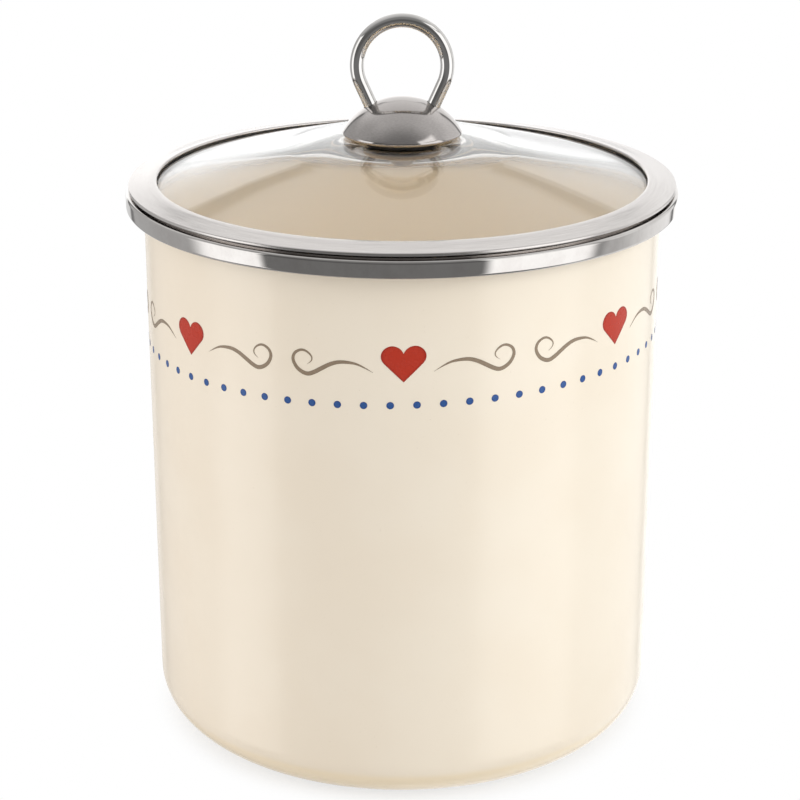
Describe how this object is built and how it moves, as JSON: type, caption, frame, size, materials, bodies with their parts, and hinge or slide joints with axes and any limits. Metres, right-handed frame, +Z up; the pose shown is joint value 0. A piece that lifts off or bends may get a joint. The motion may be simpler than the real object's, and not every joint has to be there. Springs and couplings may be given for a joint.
{
  "type": "storage container",
  "caption": "Round enamelled steel storage canister with a rolled rim trim and a lift-off domed glass lid that has a steel ring and a finger-ring knob.",
  "frame": {"origin": "on the table, at the centre of the base", "axes": "+Z up along the body's axis; the finger ring lies in the XZ plane"},
  "size_m": [0.1708, 0.1708, 0.2271],
  "materials": {
    "enamel": "glossy cream vitreous enamel",
    "polished_steel": "polished stainless steel",
    "satin_steel": "satin stainless steel",
    "lid_glass": "clear tempered glass",
    "dark_silicone": "matt dark silicone",
    "inner_steel": "plain turned steel"
  },
  "bodies": {
    "container": {"enamel_body": "enamel", "rim_band": "polished_steel"},
    "lid": {"lid_glass": "lid_glass", "lid_ring": "satin_steel", "glass_seal": "dark_silicone", "knob_shell": "satin_steel", "knob_ring": "polished_steel", "knob_core": "inner_steel", "upper_gasket": "dark_silicone", "lower_gasket": "dark_silicone", "knob_washer": "satin_steel", "knob_screw": "inner_steel"}
  },
  "joints": [
    {"name": "lid_lift", "type": "slide", "parent": "container", "child": "lid", "axis": [0, 0, 1], "range_m": [0, 0.1]}
  ]
}
